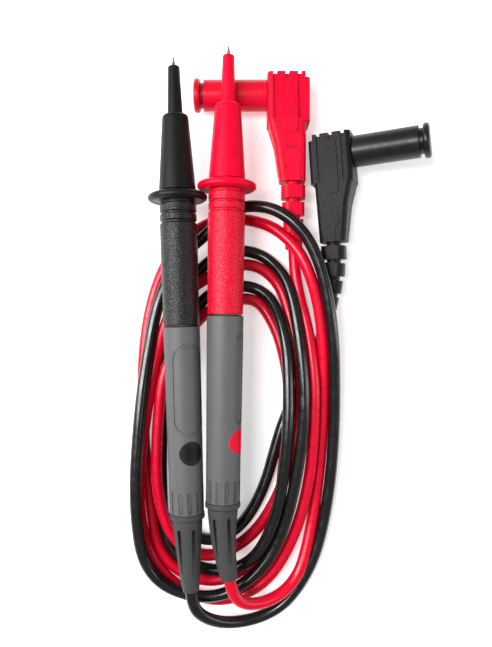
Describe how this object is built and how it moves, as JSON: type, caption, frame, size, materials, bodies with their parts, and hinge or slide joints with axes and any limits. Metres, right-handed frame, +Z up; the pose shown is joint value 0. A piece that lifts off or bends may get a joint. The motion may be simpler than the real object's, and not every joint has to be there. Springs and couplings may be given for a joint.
{
  "type": "multimeter test leads",
  "caption": "Pair of meter test leads: twist-guard probes with sliding tip sheaths, right-angle capped safety plugs, and flexible leads lying in a loose coil.",
  "frame": {"origin": "on the table, under the middle of the probes and plugs", "axes": "+Y runs towards the probe tips, +Z is up from the table, +X is to the right of the probes, towards the black plug"},
  "size_m": [0.1069, 0.2032, 0.0256],
  "materials": {
    "black_cap": "satin",
    "black_grip": "spark-textured moulding",
    "black_lead": "soft silicone, semi-gloss",
    "black_overmould": "eroded texture",
    "black_rubber": "matte",
    "black_shell": "moulded nylon, fine matte",
    "black_shroud": "satin",
    "copper": "stranded copper",
    "grey_boot": "soft matte elastomer",
    "grey_handle": "fine matte moulding",
    "natural_nylon": "natural nylon",
    "plated_brass": "nickel plated",
    "red_cap": "satin",
    "red_grip": "spark-textured moulding",
    "red_lead": "soft silicone, semi-gloss",
    "red_overmould": "satin",
    "red_shell": "moulded nylon, soft satin",
    "red_shroud": "satin",
    "spring_alloy": "rolled",
    "spring_steel": "plain",
    "tinned_brass": "tinned"
  },
  "bodies": {
    "root": {"black_badge": "black_shell", "black_boot": "grey_boot", "black_conductor": "copper", "black_contact_spring": "spring_alloy", "black_core_tube": "natural_nylon", "black_crimp_sleeve": "tinned_brass", "black_friction_ring": "black_rubber", "black_handle": "grey_handle", "black_pin_holder": "natural_nylon", "black_plug_body": "black_overmould", "black_plug_conductor": "copper", "black_plug_contact": "plated_brass", "black_plug_lead_end": "black_lead", "black_plug_shroud": "black_shroud", "black_probe_lead": "black_lead", "black_probe_lead_end": "black_lead", "black_retaining_ring": "spring_steel", "black_solder_cup": "tinned_brass", "black_strain_relief": "black_overmould", "black_tip_pin": "plated_brass", "lead_coil": "black_lead", "red_badge": "red_shell", "red_boot": "grey_boot", "red_conductor": "copper", "red_contact_spring": "spring_alloy", "red_core_tube": "natural_nylon", "red_crimp_sleeve": "tinned_brass", "red_friction_ring": "black_rubber", "red_handle": "grey_handle", "red_pin_holder": "natural_nylon", "red_plug_body": "red_overmould", "red_plug_conductor": "copper", "red_plug_contact": "plated_brass", "red_plug_lead_end": "red_lead", "red_plug_shroud": "red_shroud", "red_probe_lead": "red_lead", "red_probe_lead_end": "red_lead", "red_retaining_ring": "spring_steel", "red_solder_cup": "tinned_brass", "red_strain_relief": "red_overmould", "red_tip_pin": "plated_brass"},
    "black_barrel": {"black_nose_cone": "black_shell", "black_finger_guard": "black_shell", "black_grip": "black_grip", "black_cam_sleeve": "natural_nylon"},
    "black_sheath": {"black_tip_sheath": "black_shell", "black_cam_pin": "spring_steel"},
    "black_cap": {"black_plug_cap": "black_cap"},
    "red_barrel": {"red_nose_cone": "red_shell", "red_finger_guard": "red_shell", "red_grip": "red_grip", "red_cam_sleeve": "natural_nylon"},
    "red_sheath": {"red_tip_sheath": "red_shell", "red_cam_pin": "spring_steel"},
    "red_cap": {"red_plug_cap": "red_cap"}
  },
  "joints": [
    {"name": "black_barrel_twist", "type": "hinge", "parent": "root", "child": "black_barrel", "pos_m": [-0.03851, 0.04272, 0.0155], "axis": [-0.0302, 0.9995, 0], "range_deg": [0, 180]},
    {"name": "black_sheath_slide", "type": "slide", "parent": "root", "child": "black_sheath", "axis": [0.0302, -0.9995, 0], "range_m": [0, 0.015]},
    {"name": "black_cap_pull", "type": "slide", "parent": "root", "child": "black_cap", "axis": [0.9377, 0.0606, 0.342], "range_m": [0, 0.036]},
    {"name": "red_barrel_twist", "type": "hinge", "parent": "root", "child": "red_barrel", "pos_m": [-0.02162, 0.0465, 0.0155], "axis": [0.0129, 0.9999, 0], "range_deg": [0, 180]},
    {"name": "red_sheath_slide", "type": "slide", "parent": "root", "child": "red_sheath", "axis": [-0.0129, -0.9999, 0], "range_m": [0, 0.015]},
    {"name": "red_cap_pull", "type": "slide", "parent": "root", "child": "red_cap", "axis": [-1, 0, 0], "range_m": [0, 0.036]}
  ],
  "couplings": [
    {"joint": "black_sheath_slide", "follows": "black_barrel_twist", "m_per_rad": 0.0047747},
    {"joint": "red_sheath_slide", "follows": "red_barrel_twist", "m_per_rad": 0.0047747}
  ]
}
